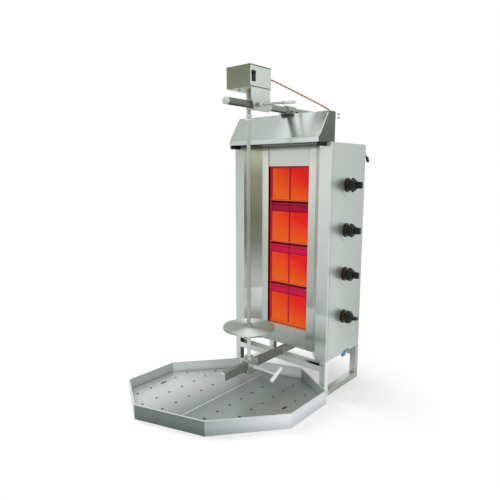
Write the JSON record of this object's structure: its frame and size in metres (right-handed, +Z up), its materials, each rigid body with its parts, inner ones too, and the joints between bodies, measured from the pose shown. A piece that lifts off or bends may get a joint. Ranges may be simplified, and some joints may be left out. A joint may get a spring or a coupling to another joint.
{
  "type": "gas doner kebab grill",
  "caption": "Upright gas doner kebab grill: steel cabinet with ceramic burners and reflectors, a motor-driven spit on sliding arms, a hood and an eight-sided drip tray.",
  "frame": {"origin": "on the floor, in the middle of the whole grill's outline seen from above, drip tray and knobs included", "axes": "+Z up, +Y from the open front to the back, +X towards the side with the knobs"},
  "size_m": [0.692, 0.8848, 1.25],
  "materials": {
    "panel_steel": "satin",
    "reflector_steel": "satin",
    "hood_steel": "polished",
    "frame_steel": "satin",
    "dark_steel": "satin",
    "burner_metal": "matt",
    "plaque": "matt",
    "brass": "satin",
    "black_plastic": "gloss",
    "black_rubber": "matt",
    "white_plastic": "satin",
    "blue_plastic": "gloss",
    "motor_iron": "satin",
    "cable": "satin",
    "bright_steel": "polished"
  },
  "bodies": {
    "cabinet": {"base_rails": "frame_steel", "legs": "frame_steel", "front_crossbar": "frame_steel", "rear_crossbar": "frame_steel", "left_side_panel": "panel_steel", "right_side_panel": "panel_steel", "left_column": "reflector_steel", "right_column": "reflector_steel", "top_fascia": "panel_steel", "lower_fascia": "panel_steel", "back_panel": "panel_steel", "top_panel": "panel_steel", "burner_1": "burner_metal", "burner_2": "burner_metal", "burner_3": "burner_metal", "burner_4": "burner_metal", "ceramic_plaques": "plaque", "gas_manifold": "brass", "gas_valves": "brass", "supply_tubes": "brass", "knob_bezels": "black_plastic", "hood_shell": "hood_steel", "hood_baffle": "dark_steel", "hood_end_blocks": "black_rubber", "upper_arm": "bright_steel", "arm_saddle": "bright_steel", "arm_post": "frame_steel", "lower_arm": "bright_steel", "arm_plugs": "white_plastic", "motor_cable": "cable", "cable_glands": "black_plastic", "gas_tap": "brass"},
    "upper_carriage": {"arm_sleeve": "bright_steel", "sleeve_bush": "white_plastic", "motor_bracket": "bright_steel", "motor_box": "bright_steel", "motor_box_covers": "bright_steel", "gear_motor": "motor_iron", "switch_frame": "black_plastic"},
    "clamp": {"clamp_lever": "bright_steel"},
    "switch": {"power_rocker": "black_plastic"},
    "spit": {"drive_shaft": "bright_steel", "spit_rod": "bright_steel", "meat_disc": "bright_steel"},
    "coupling": {"coupling_sleeve": "bright_steel"},
    "lower_carriage": {"lower_carriage": "bright_steel", "foot_bush": "brass"},
    "handle": {"t_handle": "bright_steel"},
    "tap_lever": {"gas_tap_lever": "blue_plastic"},
    "tray": {"drip_tray": "hood_steel"},
    "left_plate": {"left_drip_plate": "hood_steel"},
    "right_plate": {"right_drip_plate": "hood_steel"},
    "stem_1": {"knob_stem_1": "bright_steel"},
    "knob_1": {"knob_1": "black_plastic"},
    "stem_2": {"knob_stem_2": "bright_steel"},
    "knob_2": {"knob_2": "black_plastic"},
    "stem_3": {"knob_stem_3": "bright_steel"},
    "knob_3": {"knob_3": "black_plastic"},
    "stem_4": {"knob_stem_4": "bright_steel"},
    "knob_4": {"knob_4": "black_plastic"}
  },
  "joints": [
    {"name": "upper_slide", "type": "slide", "parent": "cabinet", "child": "upper_carriage", "axis": [0, 1, 0], "range_m": [-0.1, 0.08], "deforming": ["motor_cable"]},
    {"name": "lower_slide", "type": "slide", "parent": "cabinet", "child": "lower_carriage", "axis": [0, 1, 0], "range_m": [-0.1, 0.08]},
    {"name": "spit_spin", "type": "hinge", "parent": "upper_carriage", "child": "spit", "pos_m": [0.04797, -0.04188, 0.6], "axis": [0, 0, 1], "continuous": true},
    {"name": "coupling_lift", "type": "slide", "parent": "spit", "child": "coupling", "axis": [0, 0, 1], "range_m": [0, 0.015]},
    {"name": "clamp_turn", "type": "hinge", "parent": "upper_carriage", "child": "clamp", "pos_m": [0.10797, -0.05238, 1.119], "axis": [1, 0, 0], "range_deg": [-4, 55]},
    {"name": "handle_turn", "type": "hinge", "parent": "lower_carriage", "child": "handle", "pos_m": [0.10797, -0.02438, 0.124], "axis": [1, 0, 0], "range_deg": [-180, 180]},
    {"name": "switch_rock", "type": "hinge", "parent": "upper_carriage", "child": "switch", "pos_m": [0.10297, -0.07938, 1.212], "axis": [0, 1, 0], "range_deg": [-14, 0]},
    {"name": "tap_turn", "type": "hinge", "parent": "cabinet", "child": "tap_lever", "pos_m": [0.25997, 0.32462, 0.138], "axis": [1, 0, 0], "range_deg": [-90, 0]},
    {"name": "tray_slide", "type": "slide", "parent": "cabinet", "child": "tray", "axis": [0, -1, 0], "range_m": [0, 0.3]},
    {"name": "left_plate_lift", "type": "slide", "parent": "tray", "child": "left_plate", "axis": [0, 0, 1], "range_m": [0, 0.045]},
    {"name": "right_plate_lift", "type": "slide", "parent": "tray", "child": "right_plate", "axis": [0, 0, 1], "range_m": [0, 0.045]},
    {"name": "knob_1_push", "type": "slide", "parent": "cabinet", "child": "stem_1", "axis": [-1, 0, 0], "range_m": [0, 0.004], "stiffness_N_per_m": 800, "springref_m": -0.006},
    {"name": "knob_1_turn", "type": "hinge", "parent": "stem_1", "child": "knob_1", "pos_m": [0.30797, 0.27262, 0.308], "axis": [1, 0, 0], "range_deg": [0, 180]},
    {"name": "knob_2_push", "type": "slide", "parent": "cabinet", "child": "stem_2", "axis": [-1, 0, 0], "range_m": [0, 0.004], "stiffness_N_per_m": 800, "springref_m": -0.006},
    {"name": "knob_2_turn", "type": "hinge", "parent": "stem_2", "child": "knob_2", "pos_m": [0.30797, 0.27262, 0.484], "axis": [1, 0, 0], "range_deg": [0, 180]},
    {"name": "knob_3_push", "type": "slide", "parent": "cabinet", "child": "stem_3", "axis": [-1, 0, 0], "range_m": [0, 0.004], "stiffness_N_per_m": 800, "springref_m": -0.006},
    {"name": "knob_3_turn", "type": "hinge", "parent": "stem_3", "child": "knob_3", "pos_m": [0.30797, 0.27262, 0.66], "axis": [1, 0, 0], "range_deg": [0, 180]},
    {"name": "knob_4_push", "type": "slide", "parent": "cabinet", "child": "stem_4", "axis": [-1, 0, 0], "range_m": [0, 0.004], "stiffness_N_per_m": 800, "springref_m": -0.006},
    {"name": "knob_4_turn", "type": "hinge", "parent": "stem_4", "child": "knob_4", "pos_m": [0.30797, 0.27262, 0.836], "axis": [1, 0, 0], "range_deg": [0, 180]}
  ],
  "couplings": [
    {"joint": "lower_slide", "follows": "upper_slide", "ratio": 1}
  ]
}
